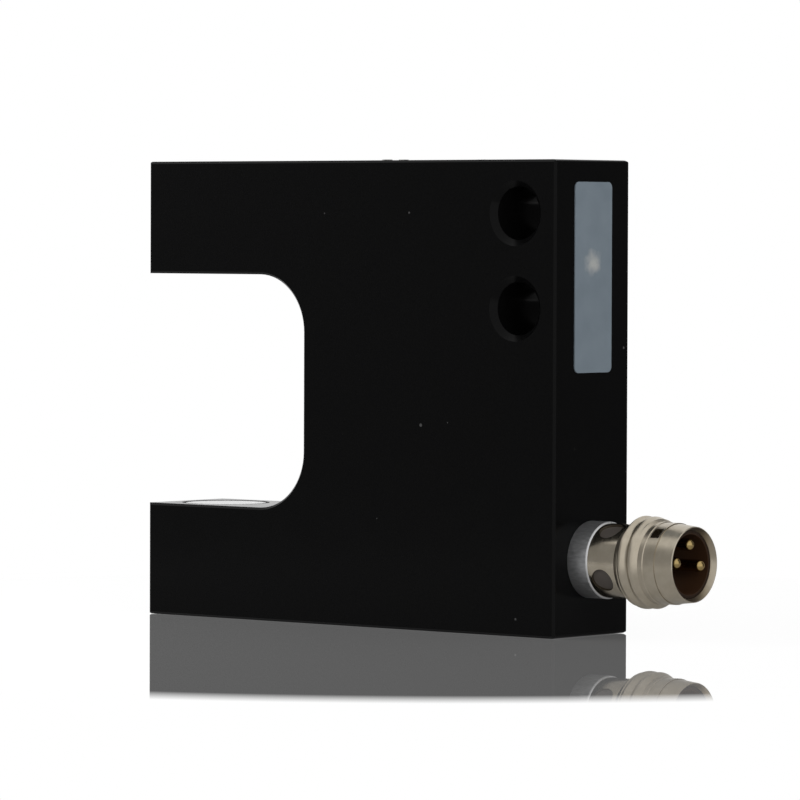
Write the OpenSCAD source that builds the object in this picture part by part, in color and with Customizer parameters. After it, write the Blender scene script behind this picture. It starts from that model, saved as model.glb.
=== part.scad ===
// Fork light barrier: a C-shaped block whose two arms hold a light source and a receiver,
// with a milled pocket for the circuit, a sensitivity adjuster and a round three-pin plug.
// Millimetres, +Z up, the fork opens towards -X and the plug points along +X.

/* [Fork body] */
// Length of the body from the fork tips to the end face
body_length = 45.8; // [44:0.1:60]
// Thickness of the body between its two broad faces
body_thick = 10.1; // [9.8:0.1:12]
// Height of the body
body_height = 40; // [39.6:0.2:56]
// Depth of the gap, measured from the fork tips
gap_depth = 18; // [14:0.5:19]
// Clear height of the gap
gap_height = 20.3; // [12:0.1:20.7]
// Radius of the two inner corners of the gap
gap_corner = 5; // [1:0.5:6]
// Chamfer that breaks the long outer edges
edge_break = 0.2; // [0.05:0.05:0.3]
// Radius of the long edges at the back, above and below
back_round = 0.55; // [0.2:0.05:0.8]
// Radius of the four corners of the body seen from its broad side
body_corner = 0.3; // [0.2:0.05:0.6]
// Thickness of the walls around the pocket
wall = 1.6; // [1.5:0.05:1.7]
// Thickness of the broad wall in front of the pocket
face_wall = 1.5; // [1:0.1:1.7]
// Thickness of the cover that closes the pocket at the back
cover_thick = 1; // [0.6:0.1:1.2]

/* [Mounting holes] */
// Diameter of the two mounting holes
hole_d = 4.5; // [3.4:0.1:4.8]
// Distance between the two mounting holes
hole_pitch = 8; // [6.6:0.2:10]
// Distance of the hole centres from the end face
hole_end = 4.3; // [3.4:0.1:5]
// Distance of the upper hole centre from the top face
hole_top = 4.5; // [3.4:0.1:6]
// Chamfer at both mouths of each hole
hole_bevel = 0.5; // [0.2:0.05:0.7]

/* [Light path] */
// Diameter of the round windows in the faces of the gap
window_d = 7.2; // [6.6:0.1:7.4]
// Distance of the light axis from the fork tips
window_tip = 4.7; // [4.6:0.1:7]

/* [Top face] */
// Diameter of the slotted adjuster
adjuster_d = 2.35; // [1.8:0.05:2.8]
// Distance of the adjuster from the wall behind the gap
adjuster_inset = 4.6; // [3.6:0.1:6]
// Heading of the screwdriver slot, seen from above
adjuster_turn = 130; // [0:5:175]
// Diameter of the indicator lens
indicator_d = 2.5; // [1.6:0.1:2.8]
// Distance of the indicator from the wall beside the mounting holes
indicator_inset = 3.3; // [2.4:0.1:5]
// Height by which the adjuster stands above the top face
top_rise = 0.12; // [0.04:0.02:0.4]

/* [Plug] */
// Height of the plug's axis above the base
plug_height = 6.45; // [5.4:0.05:9]
// Length of the plug in front of the end face
plug_reach = 10.85; // [10.5:0.05:13]
// Outer diameter of the coupling thread
thread_d = 7.8; // [7.6:0.1:9]
// Diameter of the ring at the root of the plug
ring_d = 6.5; // [6.3:0.1:7]
// Length of that ring in front of the end face
ring_reach = 2; // [1.6:0.1:2.2]
// Diameter of the contact pins
pin_d = 1; // [0.7:0.05:1.1]
// Radius of the circle on which the pins stand
pin_circle = 1.65; // [1.4:0.05:1.7]

/* [Label] */
// Width of the label on the end face
label_width = 5; // [3:0.1:6]
// Height of the label
label_height = 16; // [8:0.5:20]
// Distance of the label from the top face
label_top = 1.85; // [1:0.05:4]

/* [Clearances] */
// Gap around pieces that are bonded or pressed in
fit_gap = 0.02; // [0.01:0.01:0.04]
// Gap around the turning adjuster
run_gap = 0.05; // [0.02:0.01:0.08]
// Gap between the board and the pocket's walls
board_gap = 0.3; // [0.2:0.05:0.4]

/* [Hidden] */
$fn = 64;
cut = 1;
mid_y = body_thick / 2;
arm = (body_height - gap_height) / 2;
gap_top = arm + gap_height;
window_thick = 0.9;

// Pocket
boss_wall = 2.05;
plug_seat = 4;
mill_r = 1.5;
cover_margin = 0.1;
cover_ledge = wall - window_thick - cover_margin;
pocket_left = wall;
pocket_bottom = wall;
pocket_top = body_height - wall;
chamber_left = gap_depth + wall;
chamber_right = body_length - hole_end - hole_d / 2 - boss_wall;
plug_room_right = body_length - plug_seat;
plug_room_top = body_height - hole_top - hole_pitch - hole_d / 2 - boss_wall;
cover_y = body_thick - cover_thick;

// Board
post_height = 0.3;
post_d = 2.4;
post_inset = 2;
board_thick = 0.6;
board_back = face_wall + post_height;
board_face = board_back + board_thick;
board_mid_x = (chamber_left + chamber_right) / 2;
board_mid_z = body_height / 2;

// Parts on the board, of usual package sizes
chip_length = 4.9;
chip_width = 3.9;
chip_height = 1.5;
chip_leg = 0.9;
chip_pitch = 1.27;
chip_up = 4;
leg_width = 0.42;
leg_height = 0.25;
transistor_length = 2.9;
transistor_width = 1.4;
transistor_height = 1.1;
transistor_leg = 0.6;
transistor_pitch = 1.9;
transistor_right = 4.5;
transistor_down = 5;
tab_length = 0.4;
tab_height = 0.5;
diode_length = 4.2;
diode_width = 2.6;
diode_height = 2;
diode_left = 3.5;
diode_down = 6;
capacitor_length = 3.5;
capacitor_width = 2.8;
capacitor_height = 1.9;
capacitor_left = 4.5;
capacitor_up = 10;
resistor_length = 2;
resistor_width = 1.25;
resistor_height = 0.5;
resistor_pitch = 3.2;
resistor_down = 1.5;

// Windows, light capsules and their holders, measured down from the face of the gap
window_flush = 0.02;
window_sag = 0.75;
window_ledge = 0.8;
aperture_d = window_d - 2 * window_ledge;
dome_gap = 0.1;
dome_r = aperture_d / 2 - dome_gap;
dome_ball = (dome_r * dome_r + window_sag * window_sag) / (2 * window_sag);
capsule_flange = 1;
capsule_step = 0.4;
capsule_lead_r = 0.22;
capsule_lead_pitch = 2.54;
capsule_lead_drop = 0.6;
capsule_lead_gap = 0.3;
holder_gap = 0.5;
holder_top = -(window_thick + window_sag + holder_gap);
holder_lip = 0.4;
holder_base = wall + capsule_lead_gap + capsule_lead_r + capsule_lead_drop - arm;
holder_side = 0.5;
holder_width = 2 * (window_tip - pocket_left - holder_side);
holder_skin = 0.7;
capsule_height = holder_top - holder_lip - holder_base;
capsule_flange_r = mid_y - board_face - holder_skin;
capsule_r = capsule_flange_r - capsule_step;

// Adjuster and trimmer
adjuster_x = chamber_left + adjuster_inset;
adjuster_top = body_height + top_rise;
adjuster_slot = 0.55;
adjuster_slot_deep = 0.6;
adjuster_r = adjuster_d / 2;
adjuster_shoulder = 0.45;
adjuster_flange_r = adjuster_r + adjuster_shoulder;
adjuster_flange = 0.8;
trimmer_gap = 0.2;
trimmer_top = pocket_top - trimmer_gap;
trimmer_height = 3.6;
trimmer_width = 4.6;
trimmer_depth = 2.4;
trimmer_floor = trimmer_top - trimmer_depth;
seal_r = 0.3;
seal_room_r = adjuster_r + 2 * run_gap + 2 * seal_r + fit_gap;
seal_room = 2 * seal_r + 2 * run_gap;

// Indicator
indicator_x = chamber_right - indicator_inset;
indicator_r = indicator_d / 2;
indicator_rise = 0.8 * top_rise;
indicator_rim = 0.35;
indicator_rim_thick = 0.6;
indicator_led_width = 3;
indicator_led_height = 1.5;
indicator_led_gap = 0.2;

// Plug, measured from the end face along its axis
ring_bevel = 0.12;
ring_depth = 2;
barrel_d = ring_d - 2 * ring_bevel;
sleeve_length = 1.7;
neck_length = 1.2;
neck_bevel = 0.06;
relief_length = 0.45;
front_cone = 0.45;
thread_length = 1.3;
rear_cone = 0.9;
sleeve_start = plug_reach - sleeve_length;
neck_start = sleeve_start - neck_length;
relief_start = neck_start - relief_length;
thread_end = relief_start - front_cone;
thread_start = thread_end - thread_length;
collar_start = thread_start - rear_cone;
collar_foot_d = 6.5;
relief_d = 6.94;
neck_d = 6.82;
sleeve_d = 6.7;
socket_d = 5.7;
rim_wall = 0.31;
rim_d = socket_d + 2 * rim_wall;
rim_ease = 0.06;
mouth_bevel = 0.22;
mouth_depth = 0.5;
socket_depth = 4.9;
socket_floor = plug_reach - socket_depth;
carrier_skin = 0.2;
spigot_wall = 0.35;
barrel_step = 0.25;
spigot_bore_d = 2 * pin_circle + pin_d + 2 * carrier_skin;
spigot_d = spigot_bore_d + 2 * spigot_wall;
barrel_bore_d = spigot_bore_d + 2 * barrel_step;
spigot_end = -plug_seat;
lock_hole_d = 2.1;
lock_hole_inset = 1.3;
lock_hole_at = ring_reach + lock_hole_inset;
lock_hole_turn = 30;
lock_stud_recess = 0.2;
lock_stud_r = barrel_d / 2 - lock_stud_recess;
key_width = 1.1;
key_turn = 219.5;
key_inset = 0.2;
key_length = 0.85;
key_start = neck_start + key_inset;
carrier_recess = 0.5;
carrier_wall = 0.3;
carrier_floor = 0.6;
carrier_proud = 0.1;
carrier_tail = spigot_end - carrier_proud;
pin_recess = 0.3;
pin_tip = plug_reach - pin_recess;
pin_tail_d = 0.7;
pin_tail_length = 1;
pin_tail = carrier_tail - pin_tail_length;
plug_seal_r = (ring_d - spigot_d) / 4 - fit_gap;
pin_roll = 6;
supply_turn = 270 - pin_roll;
output_turn = 180 - pin_roll;
ground_turn = 90 - pin_roll;

// Leads
lead_r = 0.35;
lead_bend = 0.4;
supply_run = 1.5;
output_run = 3.5;
ground_run = 5.5;

// Label
label_thick = 0.1;
label_corner = 0.5;

// Colours
anodised = [0.06, 0.06, 0.065];
nickel = [0.62, 0.59, 0.54];
bare_aluminium = [0.6, 0.63, 0.67];
gold = [0.83, 0.65, 0.3];
black_plastic = [0.09, 0.08, 0.07];
board_green = [0.1, 0.32, 0.18];
clear = [0.75, 0.8, 0.85];
smoked = [0.16, 0.1, 0.12];
amber = [0.9, 0.7, 0.25];
seal_black = [0.05, 0.05, 0.05];
label_grey = [0.41, 0.45, 0.48];
wire_brown = [0.35, 0.2, 0.1];
wire_black = [0.04, 0.04, 0.04];
wire_blue = [0.1, 0.2, 0.55];

// Puts the part on its base with the origin under the middle of its length
module stood() {
    translate([-(body_length + plug_reach) / 2, -mid_y, 0])
        children();
}

// Extrudes a drawing of the broad side through the thickness
module through(from_y, to_y) {
    translate([0, to_y, 0])
        rotate([90, 0, 0])
            linear_extrude(to_y - from_y)
                children();
}

// Rounded rectangle from one corner to the opposite one
module rounded(left, bottom, right, top, r) {
    translate([left + r, bottom])
        square([right - left - 2 * r, top - bottom]);
    translate([left, bottom + r])
        square([right - left, top - bottom - 2 * r]);
    for (x = [left + r, right - r], y = [bottom + r, top - r])
        translate([x, y])
            circle(r);
}

// Rectangle with its four corners cut at 45 degrees
module cut_corners(w, h, c) {
    polygon([[c, 0], [w - c, 0], [w, c], [w, h - c], [w - c, h], [c, h], [0, h - c], [0, c]]);
}

// Places a piece at the face of the lower arm, or mirrored at the face of the upper arm
module at_emitter() {
    translate([window_tip, mid_y, arm])
        children();
}

module at_receiver() {
    translate([window_tip, mid_y, gap_top])
        mirror([0, 0, 1])
            children();
}

// Turns the plug's axis from +Z to +X
module at_plug() {
    translate([body_length, mid_y, plug_height])
        rotate([0, 90, 0])
            children();
}

// Outline of the pocket, grown or shrunk on all sides
module pocket_outline(grow) {
    r = mill_r + grow;
    rounded(pocket_left - grow, pocket_bottom - grow,
        chamber_right + grow, arm - wall + grow, r);
    rounded(pocket_left - grow, gap_top + wall - grow,
        chamber_right + grow, pocket_top + grow, r);
    rounded(chamber_left - grow, pocket_bottom - grow,
        chamber_right + grow, pocket_top + grow, r);
    rounded(chamber_left - grow, pocket_bottom - grow,
        plug_room_right + grow, plug_room_top + grow, r);
}

// Outline of the end face: edges cut at the front and rounded at the back
module end_outline() {
    straight = body_thick - back_round;
    polygon([[edge_break, 0], [straight, 0], [straight, body_height], [edge_break, body_height],
        [0, body_height - edge_break], [0, edge_break]]);
    translate([straight, back_round])
        square([back_round, body_height - 2 * back_round]);
    for (z = [back_round, body_height - back_round])
        translate([straight, z])
            circle(back_round);
}

// Block with its outer edges broken
module block() {
    intersection() {
        through(0, body_thick)
            rounded(0, 0, body_length, body_height, body_corner);
        linear_extrude(body_height)
            cut_corners(body_length, body_thick, edge_break);
        rotate([90, 0, 90])
            linear_extrude(body_length)
                end_outline();
    }
}

module gap_outline() {
    translate([-cut, arm])
        square([gap_depth - gap_corner + cut, gap_height]);
    translate([-cut, arm + gap_corner])
        square([gap_depth + cut, gap_height - 2 * gap_corner]);
    for (z = [arm + gap_corner, gap_top - gap_corner])
        translate([gap_depth - gap_corner, z])
            circle(gap_corner);
}

// Chamfer around the gap where it meets the front face
module gap_edge() {
    c = edge_break;
    straight = gap_depth - gap_corner;
    for (z = [arm + gap_corner, gap_top - gap_corner])
        translate([straight, -c, z])
            rotate([-90, 0, 0])
                cylinder(h = 3 * c, r1 = gap_corner + 2 * c, r2 = gap_corner - c);
    translate([-cut, 0, 0])
        rotate([90, 0, 90])
            linear_extrude(straight + cut) {
                polygon([[-c, arm - 2 * c], [2 * c, arm + c], [-c, arm + c]]);
                polygon([[-c, gap_top + 2 * c], [-c, gap_top - c], [2 * c, gap_top - c]]);
            }
    translate([gap_depth, 0, arm + gap_corner])
        linear_extrude(gap_height - 2 * gap_corner)
            polygon([[2 * c, -c], [-c, 2 * c], [-c, -c]]);
}

module gap_cut() {
    through(-cut, body_thick + cut)
        gap_outline();
    gap_edge();
    translate([0, body_thick, 0])
        mirror([0, 1, 0])
            gap_edge();
}

// Through hole with a chamfer at both faces
module mounting_hole() {
    mouth = hole_d / 2 + hole_bevel;
    rotate([-90, 0, 0]) {
        translate([0, 0, -cut])
            cylinder(h = body_thick + 2 * cut, d = hole_d);
        translate([0, 0, -cut])
            cylinder(h = cut + hole_bevel, r1 = mouth + cut, r2 = hole_d / 2);
        translate([0, 0, body_thick - hole_bevel])
            cylinder(h = cut + hole_bevel, r1 = hole_d / 2, r2 = mouth + cut);
    }
}

// Stepped bore that a window drops into from the gap
module window_seat() {
    translate([0, 0, -window_thick])
        cylinder(h = window_thick + cut, d = window_d);
    translate([0, 0, -wall - cut])
        cylinder(h = wall + 2 * cut, d = aperture_d);
}

module adjuster_bore() {
    translate([adjuster_x, mid_y, 0]) {
        translate([0, 0, pocket_top - cut])
            cylinder(h = wall + 2 * cut, r = adjuster_r + run_gap);
        translate([0, 0, pocket_top - cut])
            cylinder(h = cut + seal_room, r = seal_room_r);
    }
}

module indicator_bore() {
    translate([indicator_x, mid_y, pocket_top - cut])
        cylinder(h = wall + 2 * cut, r = indicator_r + fit_gap);
}

module plug_bore() {
    at_plug()
        translate([0, 0, -plug_seat - cut])
            cylinder(h = plug_seat + 2 * cut, d = ring_d + 2 * fit_gap);
}

// Low posts that carry the board
module board_posts() {
    for (x = [chamber_left + post_inset, chamber_right - post_inset],
         z = [pocket_bottom + post_inset, pocket_top - post_inset])
        board_post(x, z);
    for (z = [arm / 2, body_height - arm / 2])
        board_post(pocket_left + post_inset, z);
}

module board_post(x, z) {
    translate([x, face_wall / 2, z])
        rotate([-90, 0, 0])
            cylinder(h = board_back - face_wall / 2, d = post_d);
}

module housing() {
    color(anodised)
        stood() {
            difference() {
                block();
                gap_cut();
                through(face_wall, body_thick + cut)
                    pocket_outline(0);
                through(cover_y, body_thick + cut)
                    pocket_outline(cover_ledge);
                for (z = [body_height - hole_top, body_height - hole_top - hole_pitch])
                    translate([body_length - hole_end, 0, z])
                        mounting_hole();
                at_emitter()
                    window_seat();
                at_receiver()
                    window_seat();
                adjuster_bore();
                indicator_bore();
                plug_bore();
            }
            board_posts();
        }
}

module rear_cover() {
    color(anodised)
        stood()
            through(cover_y, body_thick)
                pocket_outline(cover_ledge - fit_gap);
}

// Flat outside, domed towards the light source
module window_lens() {
    translate([0, 0, -window_thick])
        cylinder(h = window_thick - window_flush, r = window_d / 2 - fit_gap);
    intersection() {
        translate([0, 0, dome_ball - window_thick - window_sag])
            sphere(dome_ball);
        translate([0, 0, -window_thick - window_sag - cut])
            cylinder(h = window_sag + cut + window_thick / 2, r = dome_r);
    }
}

module emitter_window() {
    color(clear)
        stood()
            at_emitter()
                window_lens();
}

module receiver_window() {
    color(clear)
        stood()
            at_receiver()
                window_lens();
}

// Block on the board with a stepped bore that centres a light capsule under its window
module capsule_holder() {
    depth = 2 * (mid_y - board_face);
    shoulder = holder_base + capsule_flange;
    difference() {
        translate([-holder_width / 2, -depth / 2, holder_base])
            cube([holder_width, depth, holder_top - holder_base]);
        translate([0, 0, holder_base - cut])
            cylinder(h = capsule_flange + cut, r = capsule_flange_r + fit_gap);
        translate([0, 0, shoulder - cut])
            cylinder(h = holder_top - shoulder + 2 * cut, r = capsule_r + fit_gap);
    }
}

module emitter_holder() {
    color(black_plastic)
        stood()
            at_emitter()
                capsule_holder();
}

module receiver_holder() {
    color(black_plastic)
        stood()
            at_receiver()
                capsule_holder();
}

// Domed capsule with a flange and two leads bent to the board
module light_capsule() {
    bend = holder_base - capsule_lead_drop;
    translate([0, 0, holder_base]) {
        cylinder(h = capsule_flange, r = capsule_flange_r);
        intersection() {
            cylinder(h = capsule_height, r = capsule_r);
            union() {
                cylinder(h = capsule_height - capsule_r, r = capsule_r);
                translate([0, 0, capsule_height - capsule_r])
                    sphere(capsule_r);
            }
        }
    }
    for (x = [-capsule_lead_pitch / 2, capsule_lead_pitch / 2])
        translate([x, 0, bend]) {
            cylinder(h = capsule_lead_drop + capsule_flange / 2, r = capsule_lead_r);
            sphere(capsule_lead_r);
            rotate([90, 0, 0])
                cylinder(h = mid_y - board_face, r = capsule_lead_r);
        }
}

module emitter_led() {
    color(smoked)
        stood()
            at_emitter()
                light_capsule();
}

module receiver_diode() {
    color(smoked)
        stood()
            at_receiver()
                light_capsule();
}

module circuit_board() {
    color(board_green)
        stood()
            through(board_back, board_face)
                pocket_outline(-board_gap);
}

// Block that lies on the board, given by its middle and its size across, up and out
module on_board(x, z, across, up, out) {
    translate([x - across / 2, board_face, z - up / 2])
        cube([across, out, up]);
}

// Chip whose legs run through it and stand out at its two long sides
module control_chip() {
    x = board_mid_x;
    z = board_mid_z + chip_up;
    color(black_plastic)
        stood() {
            on_board(x, z, chip_length, chip_width, chip_height);
            for (i = [-1.5 : 1.5])
                on_board(x + i * chip_pitch, z, leg_width, chip_width + 2 * chip_leg, leg_height);
        }
}

// Three-legged part with one leg above and two below
module output_transistor() {
    x = board_mid_x + transistor_right;
    z = board_mid_z - transistor_down;
    leg_reach = transistor_width / 2 + transistor_leg;
    color(black_plastic)
        stood() {
            on_board(x, z, transistor_length, transistor_width, transistor_height);
            on_board(x, z + leg_reach / 2, leg_width, leg_reach, leg_height);
            for (side = [-0.5, 0.5])
                on_board(x + side * transistor_pitch, z - leg_reach / 2, leg_width, leg_reach, leg_height);
        }
}

// Block with a metal tab that stands out at both ends
module tabbed_part(x, z, across, up, out) {
    on_board(x, z, across, up, out);
    on_board(x, z, across + 2 * tab_length, up / 2, tab_height);
}

module protection_diode() {
    color(black_plastic)
        stood()
            tabbed_part(board_mid_x - diode_left, board_mid_z - diode_down,
                diode_length, diode_width, diode_height);
}

module filter_capacitor() {
    color(amber)
        stood()
            tabbed_part(board_mid_x - capacitor_left, board_mid_z + capacitor_up,
                capacitor_length, capacitor_width, capacitor_height);
}

module chip_resistors() {
    color(black_plastic)
        stood()
            for (i = [-1.5 : 1.5])
                on_board(board_mid_x + i * resistor_pitch, board_mid_z - resistor_down,
                    resistor_length, resistor_width, resistor_height);
}

// Fixed part of the trimmer, with a chamber for the adjuster's flange
module trimmer_body() {
    depth = 2 * (mid_y - board_face);
    color(black_plastic)
        stood()
            difference() {
                translate([adjuster_x - trimmer_width / 2, board_face, trimmer_top - trimmer_height])
                    cube([trimmer_width, depth, trimmer_height]);
                translate([adjuster_x, mid_y, trimmer_floor - run_gap]) {
                    cylinder(h = adjuster_flange + 2 * run_gap, r = adjuster_flange_r + run_gap);
                    cylinder(h = trimmer_height, r = adjuster_r + run_gap);
                }
            }
}

// Slotted spindle with a flange that keeps it in the trimmer
module adjuster() {
    color(nickel)
        stood()
            translate([adjuster_x, mid_y, 0])
                difference() {
                    union() {
                        translate([0, 0, trimmer_floor])
                            cylinder(h = adjuster_top - trimmer_floor, r = adjuster_r);
                        translate([0, 0, trimmer_floor])
                            cylinder(h = adjuster_flange, r = adjuster_flange_r);
                    }
                    rotate([0, 0, adjuster_turn])
                        translate([-adjuster_d, -adjuster_slot / 2, adjuster_top - adjuster_slot_deep])
                            cube([2 * adjuster_d, adjuster_slot, adjuster_slot_deep + cut]);
                }
}

module adjuster_seal() {
    color(seal_black)
        stood()
            translate([adjuster_x, mid_y, pocket_top + seal_r + run_gap])
                rotate_extrude()
                    translate([adjuster_r + 2 * run_gap + seal_r, 0])
                        circle(seal_r);
}

// Top-facing light source at the board's upper edge
module indicator_led() {
    z = pocket_top - indicator_rim_thick - indicator_led_gap - indicator_led_height / 2;
    depth = mid_y + indicator_r - board_face;
    color(amber)
        stood()
            on_board(indicator_x, z, indicator_led_width, indicator_led_height, depth);
}

// Clear plug with a rim under the top wall and a gently domed top
module indicator_lens() {
    ball = (indicator_r * indicator_r + indicator_rise * indicator_rise) / (2 * indicator_rise);
    low = pocket_top - indicator_rim_thick;
    color(clear)
        stood()
            translate([indicator_x, mid_y, 0]) {
                translate([0, 0, low])
                    cylinder(h = indicator_rim_thick, r = indicator_r + indicator_rim);
                intersection() {
                    translate([0, 0, low])
                        cylinder(h = body_height - low + cut, r = indicator_r);
                    translate([0, 0, body_height + indicator_rise - ball])
                        sphere(ball);
                }
            }
}

// Sleeve that lines the bore and shows as a ring in front of the end face
module connector_ring() {
    r = ring_d / 2;
    bore = spigot_d / 2 + fit_gap;
    color(bare_aluminium)
        stood()
            at_plug()
                rotate_extrude()
                    polygon([[bore, -ring_depth], [r, -ring_depth], [r, ring_reach - ring_bevel],
                        [r - ring_bevel, ring_reach], [bore, ring_reach]]);
}

module connector_seal() {
    color(seal_black)
        stood()
            at_plug()
                translate([0, 0, -ring_depth - plug_seal_r - fit_gap])
                    rotate_extrude()
                        translate([(spigot_d + ring_d) / 4, 0])
                            circle(plug_seal_r);
}

// Turned profile of the shell: spigot, barrel, threaded collar, neck and a thin sleeve with a flared mouth
module shell_profile() {
    polygon([
        [spigot_bore_d / 2, spigot_end],
        [spigot_d / 2, spigot_end],
        [spigot_d / 2, ring_reach],
        [barrel_d / 2, ring_reach],
        [barrel_d / 2, collar_start],
        [collar_foot_d / 2, collar_start],
        [thread_d / 2, thread_start],
        [thread_d / 2, thread_end],
        [relief_d / 2, relief_start],
        [relief_d / 2, neck_start],
        [neck_d / 2, neck_start + neck_bevel],
        [neck_d / 2, sleeve_start],
        [sleeve_d / 2, sleeve_start],
        [rim_d / 2, plug_reach - rim_ease],
        [rim_d / 2 - rim_ease, plug_reach],
        [socket_d / 2 + mouth_bevel, plug_reach],
        [socket_d / 2, plug_reach - mouth_depth],
        [socket_d / 2, socket_floor],
        [barrel_bore_d / 2, socket_floor],
        [barrel_bore_d / 2, ring_reach],
        [spigot_bore_d / 2, ring_reach]]);
}

// Points a piece outwards at each of the four lock holes in the barrel
module at_lock_holes() {
    for (i = [0 : 3])
        rotate([0, 0, lock_hole_turn + 90 * i])
            translate([barrel_bore_d / 4, 0, lock_hole_at])
                rotate([0, 90, 0])
                    children();
}

module connector_shell() {
    color(nickel)
        stood()
            at_plug()
                difference() {
                    rotate_extrude()
                        shell_profile();
                    at_lock_holes()
                        cylinder(h = barrel_d, d = lock_hole_d);
                    rotate([0, 0, key_turn])
                        translate([socket_d / 4, -key_width / 2, key_start])
                            cube([neck_d, key_width, key_length]);
                }
}

// Insert with a deep cup around the pins and a core that runs back through the spigot
module carrier_profile() {
    front = plug_reach - carrier_recess;
    cup_r = socket_d / 2 - fit_gap;
    core_r = barrel_bore_d / 2 - fit_gap;
    tail_r = spigot_bore_d / 2 - fit_gap;
    polygon([
        [0, carrier_tail],
        [tail_r, carrier_tail],
        [tail_r, ring_reach],
        [core_r, ring_reach],
        [core_r, socket_floor],
        [cup_r, socket_floor],
        [cup_r, front],
        [cup_r - carrier_wall, front],
        [cup_r - carrier_wall, socket_floor + carrier_floor],
        [0, socket_floor + carrier_floor]]);
}

// Studs of the insert that fill the lock holes to just below the barrel
module lock_studs() {
    intersection() {
        at_lock_holes()
            cylinder(h = barrel_d, d = lock_hole_d - 2 * fit_gap);
        translate([0, 0, ring_reach])
            cylinder(h = collar_start - ring_reach, r = lock_stud_r);
    }
}

module contact_carrier() {
    color(black_plastic)
        stood()
            at_plug()
                difference() {
                    union() {
                        rotate_extrude()
                            carrier_profile();
                        lock_studs();
                    }
                    for (turn = [supply_turn, output_turn, ground_turn])
                        at_pin(turn)
                            translate([0, 0, carrier_tail - cut])
                                cylinder(h = plug_reach - carrier_tail + 2 * cut, r = pin_d / 2 + fit_gap);
                }
}

module at_pin(turn) {
    rotate([0, 0, turn])
        translate([pin_circle, 0, 0])
            children();
}

// Pin with a domed tip and a thinner tail for its lead
module contact_pin(turn) {
    r = pin_d / 2;
    color(gold)
        stood()
            at_plug()
                at_pin(turn) {
                    translate([0, 0, carrier_tail])
                        cylinder(h = pin_tip - r - carrier_tail, r = r);
                    translate([0, 0, pin_tip - r])
                        sphere(r);
                    translate([0, 0, pin_tail])
                        cylinder(h = carrier_tail - pin_tail, d = pin_tail_d);
                }
}

module contact_pin_supply() {
    contact_pin(supply_turn);
}

module contact_pin_output() {
    contact_pin(output_turn);
}

module contact_pin_ground() {
    contact_pin(ground_turn);
}

// Wire from a pin's tail along the pocket, bent down onto the board
module lead(turn, run, shade) {
    y = mid_y + pin_circle * sin(turn);
    z = plug_height - pin_circle * cos(turn);
    color(shade)
        stood()
            translate([body_length + pin_tail, y, z]) {
                rotate([0, -90, 0])
                    cylinder(h = run, r = lead_r);
                translate([-run, -lead_bend, 0]) {
                    rotate([0, 0, 90])
                        rotate_extrude(angle = 90)
                            translate([lead_bend, 0])
                                circle(lead_r);
                    translate([-lead_bend, 0, 0])
                        rotate([90, 0, 0])
                            cylinder(h = y - lead_bend - board_face, r = lead_r);
                }
            }
}

module lead_supply() {
    lead(supply_turn, supply_run, wire_brown);
}

module lead_output() {
    lead(output_turn, output_run, wire_black);
}

module lead_ground() {
    lead(ground_turn, ground_run, wire_blue);
}

module label() {
    color(label_grey)
        stood()
            translate([body_length, mid_y, body_height - label_top])
                rotate([90, 0, 90])
                    linear_extrude(label_thick)
                        rounded(-label_width / 2, -label_height, label_width / 2, 0, label_corner);
}

housing();
rear_cover();
emitter_window();
receiver_window();
emitter_holder();
receiver_holder();
emitter_led();
receiver_diode();
circuit_board();
control_chip();
output_transistor();
protection_diode();
filter_capacitor();
chip_resistors();
trimmer_body();
adjuster();
adjuster_seal();
indicator_led();
indicator_lens();
connector_ring();
connector_seal();
connector_shell();
contact_carrier();
contact_pin_supply();
contact_pin_output();
contact_pin_ground();
lead_supply();
lead_output();
lead_ground();
label();
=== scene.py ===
"""Looks of the fork light barrier: a black anodised block with a nickel-plated three-pin plug.

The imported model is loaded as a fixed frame. Every node gets a procedural material, and the plug's plain
shell is replaced by one with a cut thread. Objects are in metres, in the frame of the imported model, and the
plug's own sizes are in millimetres.
"""
import math

import bmesh
import bpy
from mathutils import Matrix, Vector


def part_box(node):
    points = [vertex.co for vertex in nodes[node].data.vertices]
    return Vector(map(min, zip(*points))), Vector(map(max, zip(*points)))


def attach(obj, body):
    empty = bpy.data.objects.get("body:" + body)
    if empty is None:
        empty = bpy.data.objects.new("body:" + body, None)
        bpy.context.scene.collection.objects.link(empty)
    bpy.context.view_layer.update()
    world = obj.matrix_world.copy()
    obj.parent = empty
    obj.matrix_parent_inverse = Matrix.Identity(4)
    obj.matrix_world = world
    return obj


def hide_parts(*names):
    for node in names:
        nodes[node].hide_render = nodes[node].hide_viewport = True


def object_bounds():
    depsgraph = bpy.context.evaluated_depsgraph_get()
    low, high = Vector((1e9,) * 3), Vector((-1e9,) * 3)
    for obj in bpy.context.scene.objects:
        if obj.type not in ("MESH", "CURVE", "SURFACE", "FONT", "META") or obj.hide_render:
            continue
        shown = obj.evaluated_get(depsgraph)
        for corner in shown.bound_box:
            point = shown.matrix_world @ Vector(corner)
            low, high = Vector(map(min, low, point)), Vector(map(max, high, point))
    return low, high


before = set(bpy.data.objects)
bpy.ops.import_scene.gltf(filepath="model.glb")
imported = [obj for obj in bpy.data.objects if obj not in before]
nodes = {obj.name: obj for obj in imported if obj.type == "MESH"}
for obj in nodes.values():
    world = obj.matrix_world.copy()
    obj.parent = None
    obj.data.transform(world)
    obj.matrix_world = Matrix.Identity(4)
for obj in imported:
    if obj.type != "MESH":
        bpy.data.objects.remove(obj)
cad_low, cad_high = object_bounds()
MM = 0.001

# Plug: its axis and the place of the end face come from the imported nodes
END_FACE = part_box("housing")[1].x
PLUG_AXIS = (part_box("connector_shell")[0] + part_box("connector_shell")[1]) / 2
PLUG_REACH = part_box("connector_shell")[1].x - END_FACE
SPIGOT_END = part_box("connector_shell")[0].x - END_FACE
RING_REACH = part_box("connector_ring")[1].x - END_FACE

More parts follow.
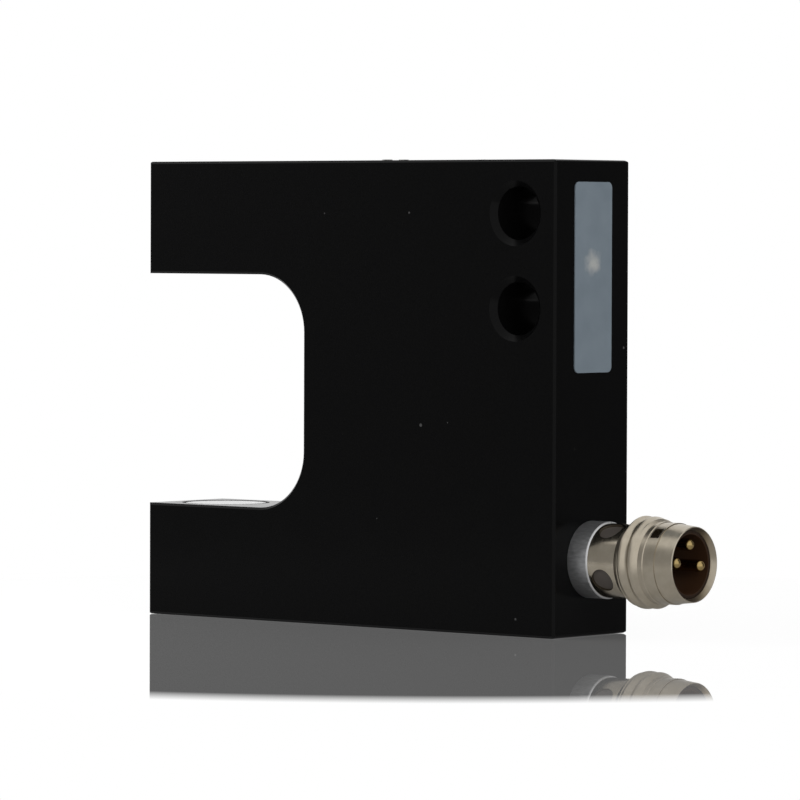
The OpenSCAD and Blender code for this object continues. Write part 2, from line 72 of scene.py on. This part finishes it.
# Turned shell, in millimetres along the axis from the end face and as radii; turns are in degrees
SPIGOT_R = 2.7
BARREL_R = 3.13
COLLAR_START = 4.85
COLLAR_FOOT_R = 3.25
THREAD_START = 5.75
THREAD_END = 7.05
THREAD_R = 3.9
THREAD_ROOT_R = 3.68
THREAD_TAPER = 0.07
THREAD_PITCH = 1.0
THREAD_GROOVE = 6.48
GROOVE_BACK = 0.55
GROOVE_FRONT = 0.37
RELIEF_START = 7.5
RELIEF_R = 3.47
NECK_START = 7.95
NECK_R = 3.41
NECK_BEVEL = 0.06
SLEEVE_START = 9.15
SLEEVE_R = 3.35
RIM_R = 3.16
RIM_EASE = 0.06
SOCKET_R = 2.85
SOCKET_DEPTH = 4.9
MOUTH_BEVEL = 0.22
MOUTH_DEPTH = 0.5
BARREL_BORE_R = 2.6
SPIGOT_BORE_R = 2.35
LOCK_HOLES = 4
LOCK_HOLE_R = 1.05
LOCK_HOLE_AT = 3.3
LOCK_HOLE_TURN = 30
KEY_WIDTH = 1.1
KEY_START = 8.15
KEY_END = 9.0
KEY_TURN = 219.5

# Bevel at the front of the grey ring, in millimetres; its front half carries a painted highlight
RING_BEVEL = 0.12

# Mesh of the shell: steps around the axis and around a lock hole, rows along the thread in millimetres,
# and the angle in degrees from which an edge stays sharp
SHELL_STEPS = 192
DRILL_STEPS = 48
THREAD_ROW = 0.02
SHARP_ANGLE = 20

# Lengths in millimetres over which one finish of the plug passes into the next, and into the grey ring's
# painted highlight and the insert's painted shade
SATIN_BLUR = 0.1
EDGE_BLUR = 0.02
STUD_BLUR = 0.1

# Extra roughness of the plug's satin front
SATIN_FRONT = 0.14

# Dust on the block: cells and patches per millimetre, and the largest speck as a share of a cell
DUST_CELLS = 0.42
DUST_PATCHES = 0.19
DUST_SPECK = 0.065

# Dull joint around each lens in the gap: its width and its depth behind the gap's faces in millimetres, and
# its roughness
LENS_JOINT = 0.3
LENS_JOINT_DEPTH = 0.1
LENS_JOINT_ROUGHNESS = 0.9

# Painted highlight on the label, as a pale spot: its place as a share of the label's height below the top,
# the radii in millimetres where it starts to fade and where it ends, how ragged its rim is, and how strong it
# is in the middle
LABEL_SPOT = 0.425
LABEL_SPOT_FADE = (0.2, 1.2)
LABEL_SPOT_RAGGED = 0.25
LABEL_SPOT_STRENGTH = 0.8

# Camera, fitted to the photograph: metres, degrees and, for the lens, millimetres
CAMERA_PLACE = Vector((0.304955, -0.36876, 0.03431))
CAMERA_YAW = 39.9147
CAMERA_PITCH = 1.7791
CAMERA_ROLL = -0.2068
CAMERA_LENS = 250.62
CAMERA_SENSOR = 36
CAMERA_CLIP = (0.01, 50)

# Floor: half its size in metres, its place a hair below the base, its paint, and the distances in
# millimetres over which it fades to white
FLOOR_HALF = 4.0
FLOOR_GAP = 0.00002
FLOOR_PAINT = (0.68, 0.68, 0.68, 1)
FLOOR_FADE = (71, 78)

# Floor at a grazing look: where the change starts and ends, from 0 for straight down to 1 for along it,
# the mirror's share at the end, and the paint's glow at both ends
FLOOR_GRAZING = (0.75, 0.89)
FLOOR_MIRROR = 0.895
FLOOR_GLOW = (0.12, 0.60)

# Strength of the room's light on the surfaces
ROOM_LIGHT = 0.26

# Cards around the object: their distance and height in metres
CARD_DISTANCE = 0.085
CARD_HEIGHT = 0.1


def material(name, **values):
    """New material with a Principled shader, whose sockets take the given values."""
    made = bpy.data.materials.new(name)
    made.use_nodes = True
    shader = made.node_tree.nodes["Principled BSDF"]
    for socket, value in values.items():
        shader.inputs[socket.replace("_", " ")].default_value = value
    return made, made.node_tree, shader


def node(tree, kind, **values):
    """New shader node; names of its sockets or properties set their values."""
    made = tree.nodes.new(kind)
    for key, value in values.items():
        label = key.replace("_", " ")
        if label in made.inputs:
            made.inputs[label].default_value = value
        else:
            setattr(made, key, value)
    return made


def place(tree, stretch=(1, 1, 1)):
    """Position on the object in millimetres, stretched along each axis."""
    where = node(tree, "ShaderNodeTexCoord")
    scaled = node(tree, "ShaderNodeMapping")
    scaled.inputs["Scale"].default_value = [s / MM for s in stretch]
    tree.links.new(where.outputs["Object"], scaled.inputs["Vector"])
    return scaled.outputs["Vector"]


def noise(tree, where, scale, detail=3.0):
    """Noise value at a place, with a number of waves to the millimetre."""
    made = node(tree, "ShaderNodeTexNoise", Scale=scale, Detail=detail)
    tree.links.new(where, made.inputs["Vector"])
    return made.outputs["Fac"]


def spread(tree, value, low, high, start=0.3, end=0.7):
    """Maps a value between start and end onto a range from low to high, and holds it beyond them."""
    made = node(tree, "ShaderNodeMapRange", clamp=True)
    made.inputs["From Min"].default_value = start
    made.inputs["From Max"].default_value = end
    made.inputs["To Min"].default_value = low
    made.inputs["To Max"].default_value = high
    tree.links.new(value, made.inputs["Value"])
    return made.outputs["Result"]


def tint(tree, value, first, second):
    """Colour between two, chosen by a value from 0 to 1; each is a colour or a socket."""
    made = node(tree, "ShaderNodeMix", data_type="RGBA")
    ends = [s for s in made.inputs if s.type == "RGBA"]
    for socket, colour in zip(ends, (first, second)):
        if isinstance(colour, tuple):
            socket.default_value = (*colour, 1)
        else:
            tree.links.new(colour, socket)
    tree.links.new(value, made.inputs["Factor"])
    return next(s for s in made.outputs if s.type == "RGBA")


def bump(tree, shader, height, depth, strength):
    """Fine relief on a shader, with its depth in millimetres."""
    made = node(tree, "ShaderNodeBump", Strength=strength, Distance=depth * MM)
    tree.links.new(height, made.inputs["Height"])
    tree.links.new(made.outputs["Normal"], shader.inputs["Normal"])


def math_node(tree, operation, first, second):
    """Arithmetic on two values, each a socket or a number."""
    made = node(tree, "ShaderNodeMath", operation=operation)
    for socket, value in zip(made.inputs, (first, second)):
        if isinstance(value, (int, float)):
            socket.default_value = value
        else:
            tree.links.new(value, socket)
    return made.outputs[0]


def mixed(tree, share, first, second):
    """Mix of two shaders: the first where the share is 0, the second where it is 1."""
    made = node(tree, "ShaderNodeMixShader")
    for socket, value in zip(made.inputs, (share, first, second)):
        tree.links.new(value, socket)
    return made.outputs[0]


def dust(tree, where):
    """Mask of a few tiny specks, a millimetre or more apart."""
    cells = node(tree, "ShaderNodeTexVoronoi", Scale=DUST_CELLS)
    tree.links.new(where, cells.inputs["Vector"])
    size = spread(tree, noise(tree, where, DUST_PATCHES, 1.0), 0.0, DUST_SPECK, start=0.45, end=0.75)
    return math_node(tree, "LESS_THAN", cells.outputs["Distance"], size)


def lens_joint(tree):
    """Mask of the joints around the two lenses, on the gap's lower and upper face."""
    gap_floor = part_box("emitter_window")[1]
    gap_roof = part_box("receiver_window")[0]
    middle = (gap_floor + gap_roof) / 2
    reach = (gap_roof.z - gap_floor.z) / 2 / MM + LENS_JOINT_DEPTH
    lens_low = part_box("emitter_window")[0]
    rim = (gap_floor.x - lens_low.x) / 2 / MM + LENS_JOINT
    from_lens = distance_from(tree, (lens_low + gap_floor) / 2, (1, 1, 0))
    near_lens = math_node(tree, "LESS_THAN", from_lens, rim)
    near_gap = math_node(tree, "LESS_THAN", distance_from(tree, middle, (0, 0, 1)), reach)
    return math_node(tree, "MULTIPLY", near_lens, near_gap)


def anodised():
    """Black anodised aluminium with a fine etched grain and a few specks of dust, dull around the lenses."""
    made, tree, shader = material("anodised", Specular_IOR_Level=0.07)
    where = place(tree)
    grain = noise(tree, where, 9.0, 4.0)
    shade = tint(tree, spread(tree, grain, 0, 1), (0.0023, 0.0023, 0.0024), (0.0034, 0.0034, 0.0035))
    dusty = tint(tree, dust(tree, where), shade, (0.07, 0.07, 0.07))
    tree.links.new(dusty, shader.inputs["Base Color"])
    satin = spread(tree, noise(tree, where, 0.35, 3.0), 0.15, 0.21)
    dull = math_node(tree, "MULTIPLY", lens_joint(tree), LENS_JOINT_ROUGHNESS)
    tree.links.new(math_node(tree, "MAXIMUM", satin, dull), shader.inputs["Roughness"])
    bump(tree, shader, grain, 0.002, 0.3)
    return made


def lacquered_cover():
    """Black lacquer on the cover plate: a little greyer and flatter than the block around it."""
    made, tree, shader = material("cover_lacquer", Specular_IOR_Level=0.05)
    grain = noise(tree, place(tree), 5.0, 4.0)
    shade = tint(tree, spread(tree, grain, 0, 1), (0.0042, 0.0042, 0.0044), (0.0060, 0.0060, 0.0062))
    tree.links.new(shade, shader.inputs["Base Color"])
    tree.links.new(spread(tree, grain, 0.46, 0.58), shader.inputs["Roughness"])
    bump(tree, shader, grain, 0.008, 0.4)
    return made


def plug_station(tree):
    """Distance from the end face along the plug, in millimetres."""
    parts = node(tree, "ShaderNodeSeparateXYZ")
    tree.links.new(place(tree), parts.inputs["Vector"])
    return math_node(tree, "SUBTRACT", parts.outputs["X"], END_FACE / MM)


def turned_nickel():
    """Nickel plate over turned metal: a bright barrel, and a satin front with fine rings around the axis."""
    made, tree, shader = material("nickel", Metallic=1.0)
    rings = noise(tree, place(tree, (1, 0.02, 0.02)), 11.0, 2.0)
    clouds = noise(tree, place(tree), 1.1, 3.0)
    shade = tint(tree, spread(tree, clouds, 0, 1), (0.42, 0.373, 0.294), (0.484, 0.433, 0.35))
    tree.links.new(shade, shader.inputs["Base Color"])
    half = SATIN_BLUR / 2
    satin = spread(tree, plug_station(tree), 0, SATIN_FRONT, COLLAR_START - half, COLLAR_START + half)
    rough = math_node(tree, "ADD", satin, spread(tree, rings, 0.14, 0.22))
    tree.links.new(rough, shader.inputs["Roughness"])
    bump(tree, shader, rings, 0.003, 0.3)
    return made


def brushed_ring():
    """Grey aluminium with short brush marks along the plug's axis, and a painted highlight on its front edge.
    """
    made, tree, shader = material("ring", Metallic=0.85)
    marks = noise(tree, place(tree, (0.25, 1, 1)), 7.0, 4.0)
    shade = tint(tree, spread(tree, marks, 0, 1), (0.36, 0.363, 0.369), (0.51, 0.513, 0.519))
    # Painted highlight: the front half of the bevel takes a lighter grey than the brushed metal
    bevel = RING_REACH / MM - RING_BEVEL / 2
    edge = spread(tree, plug_station(tree), 0, 1, bevel - EDGE_BLUR, bevel)
    tree.links.new(tint(tree, edge, shade, (0.60, 0.604, 0.611)), shader.inputs["Base Color"])
    tree.links.new(spread(tree, marks, 0.34, 0.46), shader.inputs["Roughness"])
    bump(tree, shader, marks, 0.006, 0.4)
    return made


def plain_metal(name, dark, light, roughness):
    """Plated metal with slight clouds in colour and gloss."""
    made, tree, shader = material(name, Metallic=1.0)
    clouds = noise(tree, place(tree), 3.0, 3.0)
    tree.links.new(tint(tree, spread(tree, clouds, 0, 1), dark, light), shader.inputs["Base Color"])
    tree.links.new(spread(tree, clouds, roughness, roughness * 1.4), shader.inputs["Roughness"])
    bump(tree, shader, noise(tree, place(tree), 14.0, 2.0), 0.002, 0.3)
    return made


def moulded(name, dark, light, roughness, grain=12.0):
    """Moulded plastic or rubber with a fine grain."""
    made, tree, shader = material(name, Specular_IOR_Level=0.4)
    fine = noise(tree, place(tree), grain, 3.0)
    tree.links.new(tint(tree, spread(tree, fine, 0, 1), dark, light), shader.inputs["Base Color"])
    tree.links.new(spread(tree, fine, roughness * 0.9, roughness * 1.15), shader.inputs["Roughness"])
    bump(tree, shader, fine, 0.004, 0.3)
    return made


def glass(name, dark, light, roughness):
    """Clear or tinted lens with a faint haze."""
    made, tree, shader = material(name, Transmission_Weight=1.0, IOR=1.5)
    haze = noise(tree, place(tree), 1.5, 2.0)
    tree.links.new(tint(tree, spread(tree, haze, 0, 1), dark, light), shader.inputs["Base Color"])
    tree.links.new(spread(tree, haze, roughness, roughness * 1.5), shader.inputs["Roughness"])
    return made


def distance_from(tree, point, stretch=(1, 1, 1)):
    """Distance in millimetres from a point of the frame, along the axes that aren't stretched to nothing."""
    away = node(tree, "ShaderNodeVectorMath", operation="DISTANCE")
    away.inputs[1].default_value = [s * p / MM for s, p in zip(stretch, point)]
    tree.links.new(place(tree, stretch), away.inputs[0])
    return away.outputs["Value"]


def insert_plastic():
    """Brown-black plastic inside the plug, greyer on the studs that show in the lock holes, and painted near
    black towards the front as shade on the liner's front ring inside the socket.
    """
    made, tree, shader = material("carrier", Specular_IOR_Level=0.2)
    grain = noise(tree, place(tree), 12.0, 3.0)
    cup = tint(tree, spread(tree, grain, 0, 1), (0.048, 0.0225, 0.0110), (0.066, 0.0310, 0.0150))
    from_axis = distance_from(tree, PLUG_AXIS, (0, 1, 1))
    outside = spread(tree, from_axis, 0, 1, BARREL_BORE_R - STUD_BLUR, BARREL_BORE_R)
    # Painted shade: beyond the bore the plastic turns near black towards the front, on the liner's front ring
    # inside the socket; the grey at the back is the studs' own colour
    front = spread(tree, plug_station(tree), 0, 1, COLLAR_START, SLEEVE_START)
    edge = tint(tree, front, (0.105, 0.092, 0.082), (0.016, 0.008, 0.004))
    tree.links.new(tint(tree, outside, cup, edge), shader.inputs["Base Color"])
    tree.links.new(spread(tree, grain, 0.45, 0.58), shader.inputs["Roughness"])
    bump(tree, shader, grain, 0.004, 0.3)
    return made


def label_film():
    """Bare grey-blue label film: a satin coat with a faint mottle, and a pale spot that is a painted
    highlight.
    """
    made, tree, shader = material("label", Specular_IOR_Level=0.12)
    mottle = noise(tree, place(tree), 0.5, 4.0)
    fibre = noise(tree, place(tree), 16.0, 2.0)
    film = tint(tree, spread(tree, mottle, 0, 1), (0.167, 0.203, 0.236), (0.189, 0.228, 0.262))
    low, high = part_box("label")
    # Painted highlight: a pale spot with a ragged rim, strongest in its middle, mixed into the film's colour
    spot_at = Vector((high.x, (low.y + high.y) / 2, high.z - LABEL_SPOT * (high.z - low.z)))
    ragged = spread(tree, noise(tree, place(tree), 1.3, 2.0), -LABEL_SPOT_RAGGED, LABEL_SPOT_RAGGED)
    from_spot = math_node(tree, "ADD", distance_from(tree, spot_at), ragged)
    painted_highlight = spread(tree, from_spot, LABEL_SPOT_STRENGTH, 0, *LABEL_SPOT_FADE)
    tree.links.new(tint(tree, painted_highlight, film, (0.45, 0.45, 0.43)), shader.inputs["Base Color"])
    tree.links.new(spread(tree, fibre, 0.36, 0.44), shader.inputs["Roughness"])
    bump(tree, shader, fibre, 0.002, 0.3)
    return made


def paint(names, made):
    """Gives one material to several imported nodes."""
    for name in names:
        slots = nodes[name].data.materials
        slots.clear()
        slots.append(made)


def shell_envelope(s):
    """Outer radius of the shell without its thread, from the collar's start to the relief's start."""
    if s < THREAD_START:
        share = (s - COLLAR_START) / (THREAD_START - COLLAR_START)
        return COLLAR_FOOT_R + share * (THREAD_R - COLLAR_FOOT_R)
    if s < THREAD_END:
        return THREAD_R
    share = (s - THREAD_END) / (RELIEF_START - THREAD_END)
    return THREAD_R + share * (RELIEF_R - THREAD_R)


def thread_radius(s, turn):
    """Radius of a right-handed thread with rounded ridges, at an angle around the axis."""
    phase = (s - THREAD_GROOVE) / THREAD_PITCH + turn / (2 * math.pi)
    from_groove = (phase + 0.5) % 1 - 0.5
    side = GROOVE_FRONT if from_groove > 0 else GROOVE_BACK
    share = min(abs(from_groove) / side, 1)
    rise = share * share * (3 - 2 * share)
    along = min(max((s - THREAD_START) / (THREAD_END - THREAD_START), 0), 1)
    crest = THREAD_R - along * THREAD_TAPER
    return THREAD_ROOT_R + rise * (crest - THREAD_ROOT_R)


def shell_stations():
    """Outline of the turned shell as (distance, radius, threaded) from the spigot round to its bore."""
    rows = round((RELIEF_START - COLLAR_START) / THREAD_ROW)
    cut_rows = [COLLAR_START + i * (RELIEF_START - COLLAR_START) / rows for i in range(rows + 1)]
    stations = [(SPIGOT_END / MM, SPIGOT_R, False), (RING_REACH / MM, SPIGOT_R, False)]
    stations += [(RING_REACH / MM, BARREL_R, False), (COLLAR_START, BARREL_R, False)]
    stations += [(s, shell_envelope(s), True) for s in cut_rows]
    reach = PLUG_REACH / MM
    socket_floor = reach - SOCKET_DEPTH
    stations += [(NECK_START, RELIEF_R, False), (NECK_START + NECK_BEVEL, NECK_R, False)]
    stations += [(SLEEVE_START, NECK_R, False), (SLEEVE_START, SLEEVE_R, False)]
    stations += [(reach - RIM_EASE, RIM_R, False), (reach, RIM_R - RIM_EASE, False)]
    stations += [(reach, SOCKET_R + MOUTH_BEVEL, False), (reach - MOUTH_DEPTH, SOCKET_R, False)]
    stations += [(socket_floor, SOCKET_R, False), (socket_floor, BARREL_BORE_R, False)]
    stations += [(RING_REACH / MM, BARREL_BORE_R, False), (RING_REACH / MM, SPIGOT_BORE_R, False)]
    return stations + [(SPIGOT_END / MM, SPIGOT_BORE_R, False)]


def plug_point(s, r, turn):
    """Point at a distance from the end face, a radius and an angle from -Y towards +Z."""
    across = PLUG_AXIS.y - r * MM * math.cos(turn)
    up = PLUG_AXIS.z + r * MM * math.sin(turn)
    return Vector((END_FACE + s * MM, across, up))


def new_object(name, data):
    """New object in the scene with a mesh, a camera or a light."""
    made = bpy.data.objects.new(name, data)
    bpy.context.scene.collection.objects.link(made)
    return made


def revolved_shell():
    """Closed mesh of the shell with its thread, before the holes are cut."""
    mesh = bpy.data.meshes.new("plug_shell")
    work = bmesh.new()
    rings = []
    for s, r, threaded in shell_stations():
        ring = []
        for i in range(SHELL_STEPS):
            turn = 2 * math.pi * i / SHELL_STEPS
            radius = min(r, thread_radius(s, turn)) if threaded else r
            ring.append(work.verts.new(plug_point(s, radius, turn)))
        rings.append(ring)
    for a, b in zip(rings, rings[1:] + rings[:1]):
        for i in range(SHELL_STEPS):
            j = (i + 1) % SHELL_STEPS
            work.faces.new((a[i], a[j], b[j], b[i]))
    bmesh.ops.recalc_face_normals(work, faces=work.faces)
    work.to_mesh(mesh)
    work.free()
    return new_object("plug_shell", mesh)


def radial_tool(name, turn, s, make):
    """Cutter made along its own +Z, laid along a radius of the plug at a distance from the end face."""
    mesh = bpy.data.meshes.new(name)
    work = bmesh.new()
    make(work)
    outward = Vector((0, -math.cos(turn), math.sin(turn)))
    along = Vector((1, 0, 0))
    axes = Matrix((along, outward.cross(along), outward)).transposed()
    middle = Matrix.Translation(Vector((END_FACE + s * MM, PLUG_AXIS.y, PLUG_AXIS.z)))
    work.transform(middle @ axes.to_4x4())
    bmesh.ops.recalc_face_normals(work, faces=work.faces)
    work.to_mesh(mesh)
    work.free()
    return new_object(name, mesh)


def drill(work):
    """Round cutter for a lock hole."""
    depth = BARREL_R * MM
    radius = LOCK_HOLE_R * MM
    middle = Matrix.Translation((0, 0, BARREL_BORE_R / 2 * MM + depth / 2))
    bmesh.ops.create_cone(work, cap_ends=True, segments=DRILL_STEPS, radius1=radius, radius2=radius,
                          depth=depth, matrix=middle)


def key_mill(work):
    """Square cutter for the key notch."""
    size = Vector((KEY_END - KEY_START, KEY_WIDTH, NECK_R)) * MM
    bmesh.ops.create_cube(work, size=1.0)
    bmesh.ops.scale(work, vec=size, verts=work.verts)
    bmesh.ops.translate(work, vec=(0, 0, SOCKET_R / 2 * MM + size.z / 2), verts=work.verts)


def cut(piece, cutter):
    """Takes the cutter's shape out of a piece and deletes the cutter."""
    step = piece.modifiers.new("cut", "BOOLEAN")
    step.object = cutter
    step.solver = "EXACT"
    result = bpy.data.meshes.new_from_object(piece.evaluated_get(bpy.context.evaluated_depsgraph_get()))
    piece.modifiers.clear()
    piece.data = result
    bpy.data.objects.remove(cutter)


def plug_turn(local_turn):
    """Angle from -Y towards +Z for an angle in the plug's own drawing, which starts at -Z."""
    angle = math.radians(local_turn)
    return math.atan2(-math.cos(angle), -math.sin(angle))


def plug_shell():
    """Threaded shell that stands for the plain turned one."""
    piece = revolved_shell()
    for i in range(LOCK_HOLES):
        turn = plug_turn(LOCK_HOLE_TURN + 360 / LOCK_HOLES * i)
        cut(piece, radial_tool("drill", turn, LOCK_HOLE_AT, drill))
    cut(piece, radial_tool("key_mill", plug_turn(KEY_TURN), (KEY_START + KEY_END) / 2, key_mill))
    piece.data.polygons.foreach_set("use_smooth", [True] * len(piece.data.polygons))
    piece.data.set_sharp_from_angle(angle=math.radians(SHARP_ANGLE))
    piece.data.materials.clear()
    piece.data.materials.append(nickel)
    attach(piece, "sensor")
    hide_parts("connector_shell")


def camera():
    """Camera at the photograph's viewing angle."""
    data = bpy.data.cameras.new("camera")
    data.lens = CAMERA_LENS
    data.sensor_width = CAMERA_SENSOR
    data.clip_start, data.clip_end = CAMERA_CLIP
    made = new_object("camera", data)
    yaw = Matrix.Rotation(math.radians(CAMERA_YAW), 4, "Z")
    pitch = Matrix.Rotation(math.radians(90 - CAMERA_PITCH), 4, "X")
    roll = Matrix.Rotation(math.radians(-CAMERA_ROLL), 4, "Z")
    made.matrix_world = Matrix.Translation(CAMERA_PLACE) @ yaw @ pitch @ roll
    bpy.context.scene.camera = made


def backdrop_seen(tree):
    """1 for rays from the camera, from gloss and through glass, which see the white backdrop, else 0."""
    path = node(tree, "ShaderNodeLightPath").outputs
    seen = math_node(tree, "MAXIMUM", path["Is Camera Ray"], path["Is Glossy Ray"])
    return math_node(tree, "MAXIMUM", seen, path["Is Transmission Ray"])


def studio():
    """White backdrop all round, with a plain soft light on the surfaces."""
    world = bpy.data.worlds.new("studio")
    bpy.context.scene.world = world
    world.use_nodes = True
    tree = world.node_tree
    background = tree.nodes["Background"]
    background.inputs["Color"].default_value = (1, 1, 1, 1)
    tree.links.new(spread(tree, backdrop_seen(tree), ROOM_LIGHT, 1, 0, 1), background.inputs["Strength"])


def card(name, towards, width, level):
    """Upright card beside the object that shows only in its gloss, and not in the floor's mirror image."""
    finish, tree, shader = material(name, Base_Color=(0, 0, 0, 1), Roughness=1.0, Specular_IOR_Level=0.0,
                                    Emission_Color=(1, 1, 1, 1), Emission_Strength=level)
    # The floor's mirror image is the first bounce of a camera ray, off a mirror without any roughness
    path = node(tree, "ShaderNodeLightPath").outputs
    first_bounce = math_node(tree, "LESS_THAN", path["Ray Depth"], 1.5)
    in_mirror = math_node(tree, "MULTIPLY", path["Is Singular Ray"], first_bounce)
    clear = node(tree, "ShaderNodeBsdfTransparent")
    surface = mixed(tree, in_mirror, shader.outputs[0], clear.outputs[0])
    tree.links.new(surface, tree.nodes["Material Output"].inputs["Surface"])
    foot = towards.normalized() * CARD_DISTANCE
    along = Vector((-foot.y, foot.x, 0)).normalized() * width / 2
    up = Vector((0, 0, CARD_HEIGHT))
    mesh = bpy.data.meshes.new(name)
    corners = [foot - along, foot + along, foot + along + up, foot - along + up]
    mesh.from_pydata(corners, [], [(0, 1, 2, 3)])
    mesh.materials.append(finish)
    made = new_object(name, mesh)
    made.visible_camera = False
    made.visible_diffuse = False
    made.visible_transmission = False
    made.visible_shadow = False


def lamp(name, towards, distance, size, power):
    """Square soft light that shines at the object from a direction, and doesn't show in gloss."""
    data = bpy.data.lights.new(name, "AREA")
    data.size = size
    data.energy = power
    made = new_object(name, data)
    middle = (cad_low + cad_high) / 2
    made.location = middle + towards.normalized() * distance
    made.rotation_mode = "QUATERNION"
    made.rotation_quaternion = towards.to_track_quat("Z", "Y")
    made.visible_glossy = False
    made.visible_camera = False


def floor_finish():
    """Pale paint near the object, a sharp mirror at a grazing look, that fades into the white backdrop."""
    made, tree, shader = material("floor", Base_Color=FLOOR_PAINT, Roughness=0.6, Specular_IOR_Level=0.0,
                                  Emission_Color=(1, 1, 1, 1))
    seen = backdrop_seen(tree)
    facing = node(tree, "ShaderNodeLayerWeight", Blend=0.5).outputs["Facing"]
    glow = spread(tree, facing, *FLOOR_GLOW, *FLOOR_GRAZING)
    tree.links.new(math_node(tree, "MULTIPLY", seen, glow), shader.inputs["Emission Strength"])
    mirror = node(tree, "ShaderNodeBsdfGlossy", Color=(1, 1, 1, 1), Roughness=0.0)
    mirror_share = spread(tree, facing, 0, FLOOR_MIRROR, *FLOOR_GRAZING)
    plate = mixed(tree, mirror_share, shader.outputs[0], mirror.outputs[0])
    white = node(tree, "ShaderNodeEmission", Color=(1, 1, 1, 1), Strength=1.0)
    reach = node(tree, "ShaderNodeVectorMath", operation="LENGTH")
    tree.links.new(place(tree), reach.inputs[0])
    far = spread(tree, reach.outputs["Value"], 0, 1, *FLOOR_FADE)
    surface = mixed(tree, math_node(tree, "MULTIPLY", far, seen), plate, white.outputs[0])
    tree.links.new(surface, tree.nodes["Material Output"].inputs["Surface"])
    return made


def floor():
    """Plate under the object."""
    mesh = bpy.data.meshes.new("floor")
    signs = [(-1, -1), (1, -1), (1, 1), (-1, 1)]
    mesh.from_pydata([(x * FLOOR_HALF, y * FLOOR_HALF, 0) for x, y in signs], [], [(0, 1, 2, 3)])
    made = new_object("floor", mesh)
    made.location.z = -FLOOR_GAP
    mesh.materials.append(floor_finish())


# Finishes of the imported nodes
nickel = turned_nickel()
# The pins' gold is painted darker than bare gold, as shade from the dark socket they stand in
gold = plain_metal("gold", (0.36, 0.255, 0.105), (0.45, 0.335, 0.145), roughness=0.15)
steel = plain_metal("steel", (0.46, 0.45, 0.43), (0.58, 0.57, 0.55), roughness=0.26)
black_plastic = moulded("black_plastic", (0.010, 0.010, 0.010), (0.018, 0.017, 0.016), roughness=0.5)
smoked_plastic = moulded("smoked_plastic", (0.02, 0.008, 0.010), (0.03, 0.014, 0.016), roughness=0.2)
amber_plastic = moulded("amber_plastic", (0.55, 0.32, 0.05), (0.68, 0.42, 0.09), roughness=0.4)
seal_rubber = moulded("seal", (0.008, 0.008, 0.008), (0.014, 0.014, 0.014), roughness=0.7)
board = moulded("board", (0.006, 0.06, 0.022), (0.010, 0.09, 0.035), roughness=0.4, grain=4.0)
brown_wire = moulded("wire_brown", (0.07, 0.025, 0.010), (0.10, 0.040, 0.016), roughness=0.45)
black_wire = moulded("wire_black", (0.010, 0.010, 0.010), (0.016, 0.016, 0.016), roughness=0.45)
blue_wire = moulded("wire_blue", (0.010, 0.035, 0.20), (0.016, 0.050, 0.28), roughness=0.45)
lens = glass("lens", (0.30, 0.29, 0.30), (0.36, 0.35, 0.36), roughness=0.03)
indicator = glass("indicator", (0.80, 0.84, 0.86), (0.88, 0.91, 0.93), roughness=0.12)

paint(["housing"], anodised())
paint(["rear_cover"], lacquered_cover())
paint(["emitter_window", "receiver_window"], lens)
paint(["emitter_holder", "receiver_holder", "control_chip", "output_transistor", "protection_diode",
       "chip_resistors", "trimmer_body"], black_plastic)
paint(["emitter_led", "receiver_diode"], smoked_plastic)
paint(["circuit_board"], board)
paint(["filter_capacitor", "indicator_led"], amber_plastic)
paint(["adjuster"], steel)
paint(["adjuster_seal", "connector_seal"], seal_rubber)
paint(["indicator_lens"], indicator)
paint(["connector_ring"], brushed_ring())
paint(["connector_shell"], nickel)
paint(["contact_carrier"], insert_plastic())
paint(["contact_pin_supply", "contact_pin_output", "contact_pin_ground"], gold)
paint(["lead_supply"], brown_wire)
paint(["lead_output"], black_wire)
paint(["lead_ground"], blue_wire)
paint(["label"], label_film())

plug_shell()

# Studio
floor()
camera()
studio()
card("grey_card", towards=Vector((-0.64, -0.77, 0)), width=0.18, level=0.35)
card("dark_card", towards=Vector((0.63, 0.77, 0)), width=0.11, level=0.15)
lamp("key", towards=Vector((-0.75, -0.6, 0.45)), distance=0.13, size=0.1, power=0.10)
lamp("fill", towards=Vector((0.95, -0.3, 0.2)), distance=0.3, size=0.2, power=0.45)
bpy.context.scene.view_settings.view_transform = "Standard"
